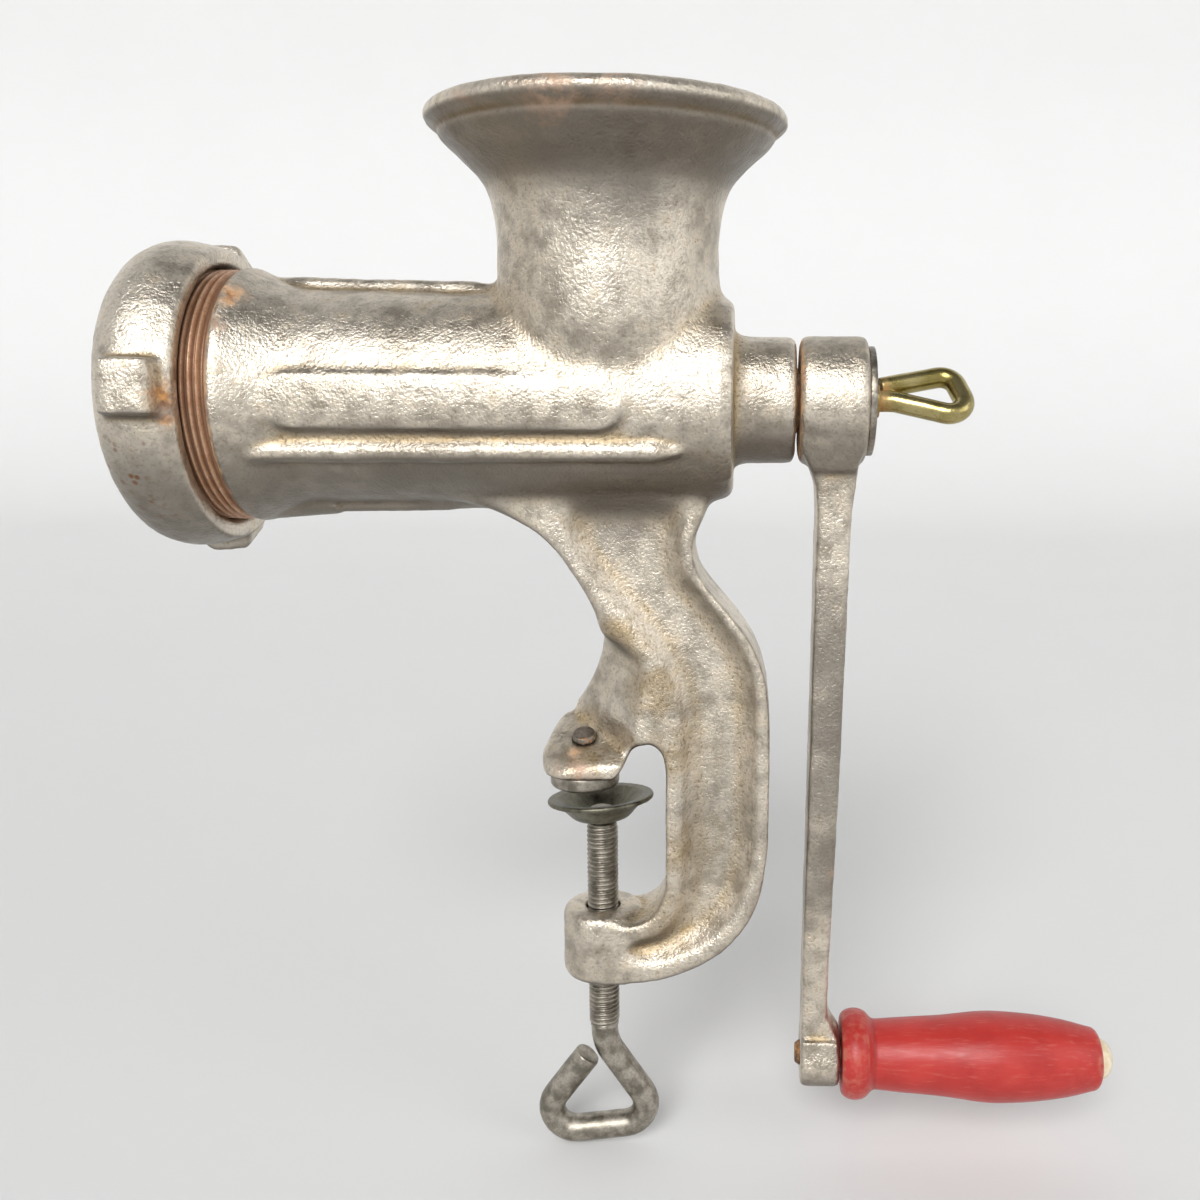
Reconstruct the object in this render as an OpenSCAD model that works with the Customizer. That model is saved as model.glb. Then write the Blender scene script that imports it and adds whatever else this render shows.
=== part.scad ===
// Manual meat grinder with table clamp, hand crank and screw-on ring nut.
// Millimetres. Origin at the centre of the jaw pad's underside, +Z up, crank end towards +X.

/* [Placement] */
// Hopper axis, measured along X from the jaw pad's centre
hopper_x = 10; // [8:0.5:12]
// Barrel axis above the table top
barrel_z = 130.5; // [128:0.5:134]

/* [Barrel] */
// Mean radius of the thread at the outlet
neck_r = 39; // [38.6:0.1:39.3]
// Length of the threaded neck
neck_len = 23; // [22:0.5:25]
// Distance from the hopper axis to the shoulder behind the thread
shoulder_x = 115; // [112:0.5:118]
// Radius of the collar behind the thread
collar_r = 40.6; // [40:0.2:42]
// Length over which the collar flares down by a third
collar_len = 8; // [6:0.5:10]
// Barrel radius at the collar
barrel_r1 = 34.3; // [33.6:0.1:35]
// Barrel radius at the closed end
barrel_r2 = 31.6; // [31:0.1:32.2]
// Distance from the hopper axis to the outside of the rear wall
rear_x = 40; // [38:0.5:42]
// Radius of the edge round the rear wall
rear_r = 32.3; // [32:0.1:33]
// Thickness of the rear wall
rear_wall = 8; // [6:0.5:9]
// Radius of the rear bearing boss
boss_r = 20; // [18:0.5:21]
// Length of the rear bearing boss
boss_len = 19.6; // [18:0.2:22]
// Radius of the barrel's bore
bore_r = 28; // [27.4:0.2:28.6]
// Radius of the stub under the collar
stub_r = 9; // [8:0.5:10]
// Radius of each lengthwise rib's rounded back
rib_r = 3.4; // [2.8:0.2:4]
// Length of each rib's sinking end
rib_end = 7; // [4:0.5:10]
// Angle of the front and back ribs below the horizontal
rib_angle = 27; // [22:1:32]

/* [Panel] */
// Length of the raised bare panel on the barrel
panel_len = 108; // [90:1:112]
// Height of the panel
panel_h = 17; // [14:0.5:19]
// How far the panel stands out of the barrel
panel_rise = 1.5; // [0.8:0.1:1.8]

/* [Hopper] */
// Outside radius of the hopper's rim
rim_r = 55.4; // [53:0.2:58]
// Height of the rim's top above the barrel axis
rim_h = 88; // [85:0.5:92]
// Height of the rim's bead
rim_bead = 7; // [6:0.5:8]
// Outside radius of the hopper's neck
throat_r = 35; // [34:0.25:36]
// Wall thickness of the hopper
hopper_wall = 4.6; // [4:0.2:5.2]

/* [Clamp frame] */
// Width of the clamp frame across the flanges
frame_w = 27; // [26:0.5:28]
// Depth of the recess on each side of the web
recess = 5.5; // [4:0.5:7]
// Inner face of the column, measured along X from the jaw pad's centre
throat_x = 28.6; // [27.6:0.2:29.6]
// Outer face of the column, measured along X from the jaw pad's centre
column_x = 63.2; // [62:0.2:65]
// Radius of the foot's round end
foot_r = 14.6; // [14:0.2:15.2]
// Height of the foot's top over the jaw pad's centre
foot_top = 16.4; // [15:0.2:18]
// Slope of the foot's top towards the front
foot_tilt = 24; // [18:1:28]
// Turn of the foot's scoop towards the front
foot_turn = 42; // [38:1:46]
// Axis of the clamp screw, measured along X from the jaw pad's centre
screw_x = 5.8; // [5:0.2:6.6]
// Top of the clamp boss below the table top
clamp_top = 44.5; // [43:0.5:46]
// Height of the clamp boss
clamp_h = 25; // [24:0.5:27]

/* [Jaw pad] */
// Radius of the jaw pad
pad_r = 11.8; // [10.5:0.2:13]
// Thickness of the jaw pad
pad_t = 5; // [4:0.25:6]
// Radius of the rivet's shank
rivet_r = 3; // [2.5:0.1:3.4]
// Radius of the rivet's head
rivet_head_r = 4.3; // [4:0.1:5]

/* [Clamp screw] */
// Mean radius of the clamp screw's thread
clamp_screw_r = 5.3; // [5:0.05:5.5]
// Radius of the bent rod below the thread
clamp_rod_r = 4.8; // [4.4:0.1:5]
// Radius of the screw's peened neck
clamp_neck_r = 3.4; // [3:0.1:3.7]
// Length of thread that stands out below the clamp boss
clamp_thread = 21; // [19:0.2:24]
// Reach of the loop from the screw's axis towards the column
clamp_loop_in = 21; // [19:0.5:23]
// Reach of the loop from the screw's axis away from the column
clamp_loop_out = 29.6; // [27:0.2:31]
// Drop of the loop below its first bend
clamp_loop_h = 38; // [35:0.5:40]
// Radius of the cup's rim
cup_r = 18; // [16.5:0.25:19]
// Depth of the cup
cup_h = 8.5; // [7.5:0.25:9.5]
// Thickness of the cup's sheet
cup_t = 1.6; // [1.4:0.1:2]
// Distance of the cup's rim below the jaw pad
cup_gap = 4.8; // [4.2:0.2:6]
// Lean of the loose cup away from the column
cup_lean = 4; // [3:0.5:5]
// Lean of the loose cup away from the front
cup_nod = 6; // [4:0.5:7]

/* [Ring nut] */
// Outside radius of the ring nut
ring_r = 48.6; // [47.8:0.1:49.4]
// Length of the ring nut
ring_len = 27; // [26:0.25:28]
// Exposed thread between the ring nut and the shoulder
ring_gap = 6.8; // [6:0.2:7.6]
// Radius of the opening in the ring nut's front
ring_hole_r = 30; // [28:0.5:31]
// Height of the lugs
lug_h = 5; // [3:0.25:6]
// Width of the lugs
lug_w = 16.5; // [14:0.5:19]

/* [Plate and knife] */
// Radius of the cutting plate
plate_r = 35; // [34.2:0.1:35.2]
// Thickness of the cutting plate
plate_t = 8; // [7:0.25:9]
// Radius of the plate's holes
plate_hole_r = 2.4; // [1.8:0.1:2.6]
// Radius of the plate pin
plate_pin_r = 1.8; // [1.5:0.1:2]
// Thickness of the knife
knife_t = 6; // [5:0.25:7]
// Reach of the knife's blades
knife_r = 27; // [24:0.25:27.2]
// Side of the knife's square seat
knife_sq = 11; // [9:0.25:12]
// Radius of the stud's pin in the plate
stud_r = 5; // [4:0.1:5.4]

/* [Feed screw] */
// Radius of the feed screw's journal in the bearing boss
journal_r = 11; // [10:0.1:11.5]
// Radius of the feed screw's core
core_r = 13; // [12:0.25:14]
// Gap between the flight and the bore
flight_gap = 1.2; // [0.8:0.1:2]
// Thickness of the flight at its edge
flight_t = 5; // [4:0.25:6]
// Turns of the flight
flight_turns = 3.4; // [2.6:0.2:3.8]
// Side of the square drive end
drive_sq = 15; // [13:0.25:16]
// Thickness of the thrust washer
thrust_t = 2; // [1.5:0.25:3]

/* [Crank] */
// Length of the crank, from axis to axis
crank_len = 231.2; // [225:0.5:236]
// Radius of the crank's hub
hub_r = 20.4; // [19.4:0.2:21.2]
// Length of the crank's hub
hub_len = 21.6; // [20.5:0.2:23]
// Width of the crank arm near the hub
arm_w1 = 21; // [18:0.5:24]
// Width of the crank arm near the eye
arm_w2 = 15; // [13:0.5:17]
// Thickness of the crank arm near the hub
arm_t1 = 11.4; // [10.6:0.2:12.4]
// Thickness of the crank arm near the eye
arm_t2 = 9; // [8:0.2:10]
// Radius of the eye at the crank's end
eye_r = 11.4; // [10.8:0.1:12]
// Length of the eye
eye_len = 14; // [13:0.2:15]

/* [Crank screw] */
// Radius of the crank washer
washer_r = 17.4; // [16:0.2:18.2]
// Thickness of the crank washer
washer_t = 2.2; // [1.8:0.1:2.8]
// Mean radius of the crank screw's thread
crank_screw_r = 3.7; // [3.4:0.05:3.8]
// Radius of the crank screw's bent rod
loop_rod_r = 3.4; // [3:0.1:3.6]
// Length of the crank screw's thread inside the drive end
crank_thread = 18; // [14:0.5:20]
// Length of the crank screw's loop
crank_loop_len = 31.8; // [29:0.2:34]
// Reach of the loop's free branch from the screw's axis
crank_loop_up = 11.8; // [11:0.2:13]
// Reach of the loop's other branch from the screw's axis
crank_loop_down = 7.6; // [7:0.2:9]
// Turn of the loop about the screw's axis
loop_turn = -45; // [-90:5:90]

/* [Grip] */
// Length of the grip
grip_len = 92; // [84:1:98]
// Largest radius of the grip
grip_r = 15.5; // [15:0.1:16.5]
// Radius of the grip's collar
grip_collar_r = 15.6; // [15:0.1:16.4]
// Radius of the grip's neck
grip_neck_r = 12; // [11.4:0.1:12.6]
// Radius of the grip's free end
grip_end_r = 9.2; // [9:0.1:10.2]
// Radius of the grip bolt
bolt_r = 4; // [3.5:0.1:4.5]
// Radius of the grip plug
plug_r = 7.2; // [6.6:0.1:7.6]

/* [Clearances] */
// Radial clearance of a running fit
run_fit = 0.08; // [0.05:0.01:0.1]
// Clearance between threads and other loose parts
loose_fit = 0.3; // [0.3:0.05:0.4]

/* [Hidden] */
$fn = 96;
front_x = -shoulder_x - neck_len;
seat_depth = plate_t - 1;
plate_back = front_x + seat_depth;
knife_x = plate_back + run_fit;
seat_r = plate_r + loose_fit;
inner_x = rear_x - rear_wall;
hub_x = rear_x + boss_len + 1.2;
hub_end = hub_x + hub_len;
washer_end = hub_end + washer_t;
drive_end = hub_end - 2;
arm_x = hub_x + 5.6;
eye_end = arm_x - 0.5 + eye_len;
grip_x = eye_end + loose_fit;
tap_r = crank_screw_r + loose_fit;
ring_back = -shoulder_x - ring_gap;
ring_front = ring_back - ring_len;
ring_bore_r = neck_r + 0.8 + loose_fit;
clamp_bottom = -clamp_top - clamp_h;
cup_z = -cup_gap;
cup_floor = cup_z - cup_h;
half_w = frame_w / 2;
clamp_r = half_w + 0.4;
pin_at = seat_r;
lug_angles = [-4.6, 110, -121];

// Points of an arc, angles in degrees
function arc(c, r, a0, a1, n = 8) =
  [for (i = [0:n]) let (a = a0 + (a1 - a0) * i / n) [c[0] + r * cos(a), c[1] + r * sin(a)]];

// Smooth curve through a list of points
function knot(p, i) = p[max(0, min(len(p) - 1, i))];
function curve_at(p, i, t) =
  let (a = knot(p, i - 1), b = knot(p, i), c = knot(p, i + 1), d = knot(p, i + 2))
  0.5 * ((2 * b) + (c - a) * t + (2 * a - 5 * b + 4 * c - d) * t * t + (3 * b - a - 3 * c + d) * t * t * t);
function curve(p, n = 4) =
  concat([for (i = [0:len(p) - 2]) for (k = [0:n - 1]) curve_at(p, i, k / n)], [p[len(p) - 1]]);

// Puts a part on the crossing of the barrel and hopper axes
module at_axis() {
  translate([hopper_x, 0, barrel_z]) children();
}

// Turns a part's own Z axis to X
module along_x(x = 0) {
  translate([x, 0, 0]) rotate([0, 90, 0]) children();
}

// Plate cut from an outline in X and Z, centred on Y
module side_plate(points, w) {
  rotate([90, 0, 0]) translate([0, 0, -w / 2]) linear_extrude(height = w) polygon(points);
}

// Middle line of a rod bent in a plane, with one bend radius for each inner corner
function unit(v) = v / norm(v);
function turn(p, i) =
  let (u = unit(p[i] - p[i - 1]), v = unit(p[i + 1] - p[i])) atan2(u[0] * v[1] - u[1] * v[0], u * v);
function bend(p, r, i, n) =
  let (a = turn(p, i), s = sign(a), u = unit(p[i] - p[i - 1]),
    q = p[i] - u * r * tan(abs(a) / 2) + s * r * [-u[1], u[0]], a0 = atan2(u[1], u[0]) - s * 90)
  [for (k = [0:n]) q + r * [cos(a0 + a * k / n), sin(a0 + a * k / n)]];
function bend_path(p, b, n = 9) =
  concat([p[0]], [for (i = [1:len(p) - 2]) each bend(p, b[i - 1], i, n)], [p[len(p) - 1]]);

// Round rod along a bent middle line
module bent_rod(p, b, r, sides = 24) {
  c = bend_path(p, b);
  m = len(c);
  pts = [for (i = [0:m - 1]) let (t = unit(c[min(i + 1, m - 1)] - c[max(i - 1, 0)]))
    for (k = [0:sides - 1]) let (f = r * cos(k * 360 / sides))
      [c[i][0] - t[1] * f, c[i][1] + t[0] * f, r * sin(k * 360 / sides)]];
  skin = [for (i = [0:m - 2]) for (k = [0:sides - 1]) let (a = i * sides + k,
    d = i * sides + (k + 1) % sides)
    each [[a, d + sides, d], [a, a + sides, d + sides]]];
  polyhedron(points = pts, faces = concat([[for (k = [0:sides - 1]) k]], skin,
    [[for (k = [0:sides - 1]) m * sides - 1 - k]]));
}

// Lengthwise rib along the barrel's cone, with an end that sinks into the barrel
module rib(x0, x1, a) {
  slope = atan((barrel_r1 - barrel_r2) / (shoulder_x + rear_x));
  rotate([a, 0, 0]) translate([x0, barrel_r1 + 0.3 - (x0 + shoulder_x) * tan(slope), 0])
    rotate([0, 0, -slope]) rotate([0, 90, 0]) {
      cylinder(r = rib_r, h = x1 - x0 - rib_end);
      translate([0, 0, x1 - x0 - rib_end]) cylinder(r1 = rib_r, r2 = 0.4 * rib_r, h = rib_end);
    }
}

// Outside of the hopper, from the barrel up to the rim
module hopper_outside() {
  b = rim_bead / 2;
  wall = curve([
    [throat_r - 4, 8], [throat_r - 0.6, 24], [throat_r, 38], [throat_r, 52], [throat_r + 3, rim_h - 23.4],
    [throat_r + 10.3, rim_h - 15.2], [rim_r - 5.2, rim_h - 10.8], [rim_r - 2.2, rim_h - rim_bead - 0.4]
  ], 3);
  rotate_extrude() polygon(concat([[0, 8]], wall, arc([rim_r - b, rim_h - b],
    b, -60, 90, 8), [[0, rim_h]]));
}

// Hollow of the hopper, down into the bore
module hopper_hollow() {
  t = hopper_wall;
  wall = curve([
    [throat_r - t - 4, 0], [throat_r - t - 3.6, 28], [throat_r - t, 44], [throat_r - t + 1, 58],
    [throat_r - t + 5, rim_h - 19], [rim_r - t - 7, rim_h - 9], [rim_r - t - 1.4, rim_h - 2.4],
    [rim_r - 2.6, rim_h + 0.2]
  ], 3);
  rotate_extrude() polygon(concat([[0, 0]], wall, [[rim_r - 2.6, rim_h + 4], [0, rim_h + 4]]));
}

// Outside of barrel, collar, rear wall and bearing boss
module barrel_outside() {
  along_x(front_x) cylinder(r = neck_r, h = neck_len + 2);
  along_x(-shoulder_x) rotate_extrude() polygon(concat([[0, 0], [collar_r - 0.6, 0]],
    curve([[collar_r, 1.6], [collar_r - 0.9, collar_len * 0.5], [collar_r - 2.8, collar_len],
      [barrel_r1 + 0.6, collar_len * 2], [barrel_r1 - 1, collar_len * 3]], 3), [[0, collar_len * 3]]));
  along_x(-shoulder_x + 1) translate([collar_r - stub_r - 0.4, 0, 0])
    cylinder(r1 = stub_r, r2 = stub_r - 2, h = 3 * collar_len);
  along_x(-shoulder_x) cylinder(r1 = barrel_r1, r2 = barrel_r2, h = shoulder_x + rear_x);
  along_x() rotate_extrude() polygon(concat([[0, rear_x - 9]], [[rear_r - 1.2, rear_x - 9]],
    [[rear_r, rear_x - 6]], arc([rear_r - 4.4, rear_x - 4.4], 4.4, 0, 90, 6), [[0, rear_x]]));
  along_x() rotate_extrude() polygon(concat([[0, rear_x - 2], [boss_r + 3, rear_x - 2],
    [boss_r + 1, rear_x + 1],
    [boss_r + 0.2, rear_x + 4]], arc([boss_r - 2, rear_x + boss_len - 2],
      2, 0, 90, 5), [[0, rear_x + boss_len]]));
  rib(-shoulder_x + 2, -throat_r + 4, 90);
  rib(-shoulder_x + 2, 12, -90);
  rib(-shoulder_x + 2, 24, 180 + rib_angle);
  rib(-shoulder_x + 2, 24, -rib_angle);
  intersection() {
    along_x(-shoulder_x)
      cylinder(r1 = barrel_r1 + panel_rise, r2 = barrel_r2 + panel_rise, h = shoulder_x + rear_x);
    rotate([90, 0, 0]) linear_extrude(height = collar_r) union() {
      translate([7.6 - panel_len + panel_h / 2, 0]) circle(d = panel_h);
      translate([7.6 - panel_h / 2, 0]) circle(d = panel_h);
      translate([7.6 - panel_len + panel_h / 2, -panel_h / 2]) square([panel_len - panel_h, panel_h]);
    }
  }
}

// Outline of the clamp frame with its foot, in X and Z from the jaw pad's centre
function frame_outline() = concat(
  [[hopper_x + 24, barrel_z - 20], [hopper_x + 32.5, barrel_z - 30]],
  curve([[hopper_x + 31.4, barrel_z - 36], [hopper_x + 27.6, barrel_z - 45],
    [hopper_x + 28.6, barrel_z - 53.5],
    [hopper_x + 33.4, barrel_z - 61], [column_x - 12.2, barrel_z - 70], [column_x - 5.8, barrel_z - 79.5],
    [column_x - 2, barrel_z - 89.5], [column_x - 0.4, barrel_z - 101], [column_x, 17]], 4),
  curve([[column_x, -17.5], [column_x - 2.5, -35.5], [column_x - 8.4, clamp_bottom + 21],
    [column_x - 18.9, clamp_bottom + 10.5], [throat_x - 1.1, clamp_bottom + 2.5],
      [screw_x + 1, clamp_bottom]], 4),
  [[screw_x, clamp_bottom], [screw_x, -clamp_top]],
  curve([[screw_x + 6, -clamp_top - 2], [throat_x - 12, -clamp_top - 2.6],
    [throat_x - 4, -clamp_top + 1.5],
    [throat_x, -clamp_top + 11]], 4),
  curve([[throat_x, 7], [throat_x - 0.8, 13.5], [throat_x - 4, 17.4], [throat_x - 8.6, 17],
    [throat_x - 12, 13.6],
    [throat_x - 14.6, pad_t + 3.4], [throat_x - 18, pad_t]], 4),
  curve([[-foot_r + 2.6, pad_t], [-foot_r + 0.3, pad_t + 2.4], [-foot_r, pad_t + 5.2],
    [-foot_r + 1.4, pad_t + 8.8],
    [-9.8, pad_t + 14.8], [-4.4, pad_t + 21], [0.8, pad_t + 28], [4.4, pad_t + 36], [6.4, pad_t + 45],
    [hopper_x - 4.2, barrel_z - 70.5], [hopper_x - 7.8, barrel_z - 61.6],
      [hopper_x - 13.5, barrel_z - 52.2],
    [hopper_x - 20.4, barrel_z - 44.2], [hopper_x - 29.6, barrel_z - 38.4],
      [hopper_x - 41, barrel_z - 34.2],
    [hopper_x - 52, barrel_z - 31.5]], 4),
  [[hopper_x - 40, barrel_z - 20]]
);

// Outline of the recess between the flanges
function recess_outline() = concat(
  [[hopper_x - 15, barrel_z - 20]],
  curve([[hopper_x - 14, barrel_z - 42], [hopper_x - 9.3, barrel_z - 52.1],
    [hopper_x - 2, barrel_z - 61.5],
    [hopper_x + 5.7, barrel_z - 70.3], [hopper_x + 13.1, barrel_z - 80], [throat_x, 40.3],
      [throat_x + 3, 31.2],
    [throat_x + 4.6, 19]], 4),
  curve([[throat_x + 4.7, -clamp_top + 16], [throat_x + 2.6, -clamp_top + 4],
    [throat_x - 2, -clamp_top - 4],
    [throat_x - 10, -clamp_top - 7.4]], 4),
  curve([[throat_x - 15, clamp_bottom + 13.5], [throat_x - 10, clamp_bottom + 8.8],
    [throat_x - 1, clamp_bottom + 9],
    [column_x - 22, clamp_bottom + 15.5], [column_x - 12, clamp_bottom + 25], [column_x - 6.6, -33],
    [column_x - 3.7, -17.5]], 4),
  curve([[column_x - 3.6, 16], [column_x - 4.2, barrel_z - 94], [column_x - 7.6, barrel_z - 81.5],
    [hopper_x + 38, barrel_z - 69.6], [hopper_x + 31, barrel_z - 60.8],
      [hopper_x + 25.6, barrel_z - 53.4],
    [hopper_x + 24.2, barrel_z - 45], [hopper_x + 25.6, barrel_z - 37]], 4),
  [[hopper_x + 24, barrel_z - 20]]
);

// Clamp frame with foot and clamp boss
module clamp_frame() {
  difference() {
    union() {
      difference() {
        side_plate(frame_outline(), frame_w);
        translate([0, 0, pad_t - 6]) linear_extrude(height = 40) difference() {
          translate([-foot_r - 20, -frame_w]) square([foot_r + 20, 2 * frame_w]);
          polygon(concat(arc([0, 0], foot_r, 180, 270, 12), [[40, -foot_r], [40, foot_r]],
            curve([[0, foot_r], [-6, foot_r - 0.3], [-10.4, foot_r - 2], [-13.4, foot_r - 5.4],
              [-foot_r, 4],
              [-foot_r, 0]], 3)));
        }
      }
      translate([screw_x, 0, clamp_bottom]) rotate_extrude() polygon(concat([[0, 0]],
        arc([clamp_r - 3, 3], 3, -90, 0, 5), arc([clamp_r - 3, clamp_h - 3],
          3, 0, 90, 5), [[0, clamp_h]]));
    }
    for (s = [-1, 1]) translate([0, s * half_w, 0]) side_plate(recess_outline(), 2 * recess);
    translate([screw_x, 0, clamp_bottom - 1]) cylinder(r = clamp_screw_r + 0.3 + loose_fit,
      h = clamp_h + 4);
    translate([0, 0, pad_t - 1]) cylinder(r = rivet_r, h = 40);
    translate([0, 0, foot_top]) rotate([foot_tilt, 0, 0]) rotate([0, 0, foot_turn]) side_plate(concat(
      [[-3 * foot_r, 44], [-3 * foot_r, -4]],
      curve([[-foot_r - 4, -3.4], [-foot_r + 3, -1.2], [-4, 0], [4.4, 0.2], [6, 2], [6.6, 6],
        [7, 11.6], [10.4, 18],
        [13.8, 24.3], [15.6, 31], [12.4, 36], [7, 38.6]], 3), [[0, 44]]), 6 * foot_r);
    translate([0, 0, foot_top]) rotate([foot_tilt, 0, 0]) cylinder(r = rivet_head_r, h = 9);
  }
}

// Barrel, hopper and clamp frame cast in one piece
module body_casting() {
  color([0.72, 0.68, 0.6]) difference() {
    union() {
      at_axis() barrel_outside();
      at_axis() hopper_outside();
      clamp_frame();
    }
    at_axis() hopper_hollow();
    at_axis() along_x(front_x - 1) cylinder(r = seat_r, h = seat_depth + 1);
    at_axis() along_x(front_x) cylinder(r = bore_r, h = inner_x - front_x);
    at_axis() along_x(inner_x - 1) cylinder(r = journal_r + run_fit, h = rear_wall + boss_len + 2);
    at_axis() translate([front_x - 1, 0, pin_at]) along_x()
      cylinder(r = plate_pin_r, h = seat_depth + 6);
  }
}

// Ring nut that screws over the outlet, with three lugs
module ring_nut() {
  step_x = front_x - 1 - loose_fit;
  color([0.7, 0.66, 0.58]) at_axis() difference() {
    union() {
      along_x() rotate_extrude() polygon(concat(
        [[ring_hole_r, ring_back]], arc([ring_r - 3.4, ring_back - 1.2], 1.2, 90, 0, 3),
        curve([[ring_r - 1.2, ring_back - 5], [ring_r - 0.2, ring_back - 9], [ring_r, ring_back - 12]],
          2),
        [for (a = [10:10:90]) [ring_r - 12 + 12 * cos(a), ring_front + 14 - 14 * sin(a)]],
        [[ring_hole_r, ring_front]]));
      for (a = lug_angles) rotate([a, 0, 0]) translate([0, 0, -lug_w / 2]) linear_extrude(height = lug_w)
        polygon(concat([[ring_back - 2.4, -ring_r + 4], [ring_front + 7.4, -ring_r + 12]],
          arc([ring_front + 11.4, -ring_r - lug_h + 4.6], 4.6, 180, 265, 4),
          arc([ring_back - 6.4, -ring_r - lug_h + 3.4], 2.8, 275, 340, 4)));
    }
    along_x() rotate_extrude() polygon([[0, ring_back + 1], [ring_bore_r + 1.6, ring_back + 1],
      [ring_bore_r + 1.6, ring_back], [ring_bore_r, ring_back - 1.6], [ring_bore_r, step_x],
        [0, step_x]]);
    along_x(ring_front - 1) cylinder(r1 = ring_hole_r + 3, r2 = ring_hole_r, h = 4);
    along_x(ring_front - 1) cylinder(r = ring_hole_r, h = ring_len);
  }
}

// Perforated plate that closes the outlet
module cutting_plate() {
  pitch = 2 * plate_hole_r + 1.6;
  color([0.6, 0.6, 0.6]) at_axis() difference() {
    along_x(plate_back - plate_t) cylinder(r = plate_r, h = plate_t);
    along_x(plate_back - plate_t - 1) cylinder(r = stud_r + loose_fit, h = plate_t + 2);
    translate([plate_back - plate_t - 1, -plate_pin_r - loose_fit, pin_at - plate_pin_r - 2 * loose_fit])
      cube([plate_t + 2, 2 * (plate_pin_r + loose_fit), 3 * plate_pin_r]);
    for (k = [2:4]) for (i = [0:6 * k - 1]) rotate([i * 60 / k, 0, 0])
      translate([0, 0, k * pitch - 0.4]) along_x(plate_back - plate_t - 1) cylinder(r = plate_hole_r,
        h = plate_t + 2);
  }
}

// Pin that keeps the plate from turning
module plate_pin() {
  color([0.5, 0.5, 0.5]) at_axis() translate([0, 0, pin_at]) along_x(front_x + 1)
    cylinder(r = plate_pin_r, h = seat_depth + 4);
}

// Knife with four blades
module knife() {
  color([0.65, 0.65, 0.66]) at_axis() difference() {
    union() {
      along_x(knife_x) cylinder(r = knife_sq * 0.95, h = knife_t);
      for (k = [0:3]) rotate([k * 90 + 20, 0, 0]) rotate([0, -90, 0]) translate([0, 0,
        -knife_x - knife_t])
        linear_extrude(height = knife_t)
        polygon([[0, -4], [knife_r - 1, -6], [knife_r, -3], [knife_r - 0.4, 3], [0, 7]]);
    }
    along_x(knife_x - 1) translate([-knife_sq / 2, -knife_sq / 2, 0]) cube([knife_sq, knife_sq,
      knife_t + 2]);
  }
}

// Stud on the feed screw that carries the knife and runs in the plate
module knife_stud() {
  color([0.55, 0.55, 0.56]) at_axis() {
    along_x(plate_back - plate_t + 1) cylinder(r = stud_r, h = plate_t + knife_t);
    along_x(knife_x) translate([-knife_sq / 2, -knife_sq / 2, 0]) cube([knife_sq, knife_sq, knife_t + 1]);
    along_x(plate_back + knife_t) cylinder(r = stud_r, h = 16);
  }
}

// Feed screw with a helical flight that closes up towards the outlet
module feed_screw() {
  start = inner_x - thrust_t - 1.5 * flight_t - 0.5;
  finish = knife_x + knife_t + 1.5 * flight_t + 0.5;
  n = round(flight_turns * 40);
  tip_r = bore_r - flight_gap;
  section = [[core_r - 2, -1.5], [tip_r, -0.5], [tip_r, 0.5], [core_r - 2, 1.5]];
  pts = [for (i = [0:n]) let (s = i / n, a = s * flight_turns * 360,
    x = start + (finish - start) * (1.22 * s - 0.22 * s * s))
    for (q = section) [x + q[1] * flight_t, q[0] * cos(a), q[0] * sin(a)]];
  sides = [for (i = [0:n - 1]) for (k = [0:3]) let (a = 4 * i + k, b = 4 * i + (k + 1) % 4)
    each [[a, b, b + 4], [a, b + 4, a + 4]]];
  color([0.6, 0.58, 0.54]) at_axis() difference() {
    union() {
      along_x(knife_x + knife_t + 1) cylinder(r = core_r, h = inner_x - thrust_t - knife_x - knife_t - 1);
      along_x(inner_x - thrust_t - 1) cylinder(r = journal_r, h = rear_wall + boss_len + thrust_t + 1.8);
      along_x(hub_x - 1) translate([-drive_sq / 2, -drive_sq / 2, 0]) cube([drive_sq, drive_sq,
        drive_end - hub_x + 1]);
      polyhedron(points = pts, faces = concat([[3, 2, 1, 0]],
        sides, [[4 * n, 4 * n + 1, 4 * n + 2, 4 * n + 3]]));
    }
    along_x(drive_end - crank_thread - 4) cylinder(r = tap_r, h = 2 * crank_thread);
    along_x(plate_back) cylinder(r = stud_r, h = knife_t + 16);
  }
}

// Thrust washer behind the feed screw
module thrust_washer() {
  color([0.45, 0.3, 0.2]) at_axis() along_x(inner_x - thrust_t) difference() {
    cylinder(r = journal_r + 7, h = thrust_t);
    translate([0, 0, -1]) cylinder(r = journal_r, h = thrust_t + 2);
  }
}

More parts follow.
